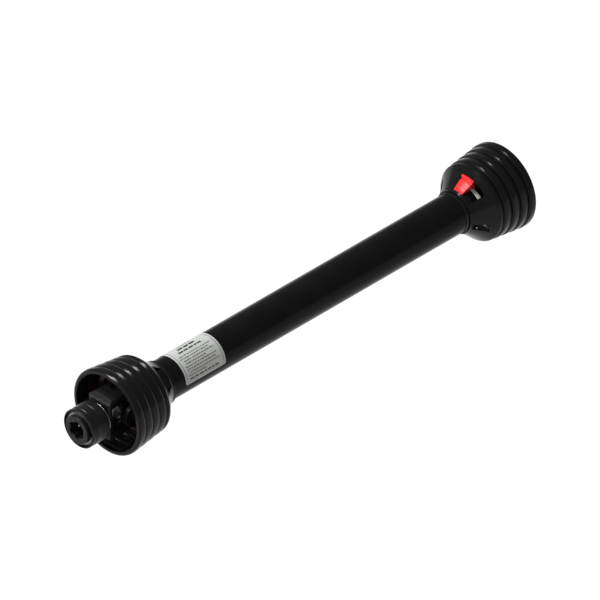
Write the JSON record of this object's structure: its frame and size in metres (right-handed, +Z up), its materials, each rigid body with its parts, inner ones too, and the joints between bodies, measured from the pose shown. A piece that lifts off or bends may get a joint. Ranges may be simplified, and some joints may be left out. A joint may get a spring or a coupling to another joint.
{
  "type": "power take-off drive shaft",
  "caption": "Telescopic power take-off shaft with universal joints, a splined quick-release yoke and a plastic guard with bell-shaped shields.",
  "frame": {"origin": "centre of the splined yoke's front face", "axes": "+X along the closed shaft from the splined yoke to the implement yoke, +Z up"},
  "size_m": [1.06, 0.1614, 0.1614],
  "materials": {
    "yoke_steel": "satin black",
    "collar": "satin black coating",
    "bright_steel": "ground",
    "dark_steel": "phosphated",
    "ball": "polished",
    "tube_steel": "drawn, lightly oiled",
    "nipple": "zinc plated",
    "seal": "moulded",
    "guard": "satin black",
    "ring": "natural nylon",
    "latch": "red",
    "label": "printed film"
  },
  "bodies": {
    "guard_near": {"near_bell": "guard", "outer_guard_tube": "guard", "near_bearing_ring": "ring", "label": "label"},
    "shaft_outer": {"near_inner_yoke": "yoke_steel", "outer_profile_tube": "tube_steel", "near_roll_pin": "dark_steel", "near_shaft_cups": "bright_steel", "near_shaft_circlips": "dark_steel"},
    "shaft_inner": {"far_inner_yoke": "yoke_steel", "inner_profile_tube": "tube_steel", "far_roll_pin": "dark_steel", "far_shaft_cups": "bright_steel", "far_shaft_circlips": "dark_steel"},
    "guard_far": {"far_bell": "guard", "far_bearing_ring": "ring", "far_neck_bush": "guard", "inner_guard_tube": "guard"},
    "near_cross": {"near_cross": "dark_steel", "near_cross_seals": "seal", "near_grease_nipple": "nipple"},
    "near_yoke": {"near_yoke": "yoke_steel", "near_yoke_cups": "bright_steel", "near_yoke_circlips": "dark_steel", "near_collar_clip": "dark_steel", "near_collar_spring": "bright_steel"},
    "near_collar": {"near_lock_collar": "collar"},
    "near_ball_1": {"near_lock_ball_1": "ball"},
    "near_ball_2": {"near_lock_ball_2": "ball"},
    "near_ball_3": {"near_lock_ball_3": "ball"},
    "far_cross": {"far_cross": "dark_steel", "far_cross_seals": "seal", "far_grease_nipple": "nipple"},
    "far_yoke": {"far_yoke": "yoke_steel", "far_yoke_cups": "bright_steel", "far_yoke_circlips": "dark_steel", "far_set_screws": "dark_steel"},
    "near_latch": {"near_latch": "latch"},
    "far_latch": {"far_latch": "latch"}
  },
  "joints": [
    {"name": "near_guard_spin", "type": "hinge", "parent": "guard_near", "child": "shaft_outer", "pos_m": [0.17, 0, 0], "axis": [1, 0, 0], "continuous": true},
    {"name": "telescope", "type": "slide", "parent": "shaft_outer", "child": "shaft_inner", "axis": [1, 0, 0], "range_m": [0, 0.35]},
    {"name": "far_guard_spin", "type": "hinge", "parent": "shaft_inner", "child": "guard_far", "pos_m": [0.93, 0, 0], "axis": [1, 0, 0], "continuous": true},
    {"name": "near_cross_pivot", "type": "hinge", "parent": "shaft_outer", "child": "near_cross", "pos_m": [0.1, 0, 0], "axis": [0, 1, 0], "range_deg": [-25, 25]},
    {"name": "near_yoke_pivot", "type": "hinge", "parent": "near_cross", "child": "near_yoke", "pos_m": [0.1, 0, 0], "axis": [0, 0, 1], "range_deg": [-25, 25]},
    {"name": "far_cross_pivot", "type": "hinge", "parent": "shaft_inner", "child": "far_cross", "pos_m": [0.998, 0, 0], "axis": [0, 1, 0], "range_deg": [-25, 25]},
    {"name": "far_yoke_pivot", "type": "hinge", "parent": "far_cross", "child": "far_yoke", "pos_m": [0.998, 0, 0], "axis": [0, 0, 1], "range_deg": [-25, 25]},
    {"name": "collar_slide", "type": "slide", "parent": "near_yoke", "child": "near_collar", "axis": [1, 0, 0], "range_m": [0, 0.007], "stiffness_N_per_m": 2500, "springref_m": -0.008, "deforming": ["near_collar_spring"]},
    {"name": "ball_1_lift", "type": "slide", "parent": "near_yoke", "child": "near_ball_1", "axis": [0, 0, 1], "range_m": [0, 0.00175]},
    {"name": "ball_2_lift", "type": "slide", "parent": "near_yoke", "child": "near_ball_2", "axis": [0, -0.866, -0.5], "range_m": [0, 0.00175]},
    {"name": "ball_3_lift", "type": "slide", "parent": "near_yoke", "child": "near_ball_3", "axis": [0, 0.866, -0.5], "range_m": [0, 0.00175]},
    {"name": "near_latch_turn", "type": "hinge", "parent": "guard_near", "child": "near_latch", "pos_m": [0.165, 0, 0], "axis": [1, 0, 0], "range_deg": [0, 27]},
    {"name": "far_latch_turn", "type": "hinge", "parent": "guard_far", "child": "far_latch", "pos_m": [0.933, 0, 0], "axis": [1, 0, 0], "range_deg": [0, 27]}
  ],
  "couplings": [
    {"joint": "ball_1_lift", "follows": "collar_slide", "ratio": 0.25},
    {"joint": "ball_2_lift", "follows": "collar_slide", "ratio": 0.25},
    {"joint": "ball_3_lift", "follows": "collar_slide", "ratio": 0.25}
  ]
}
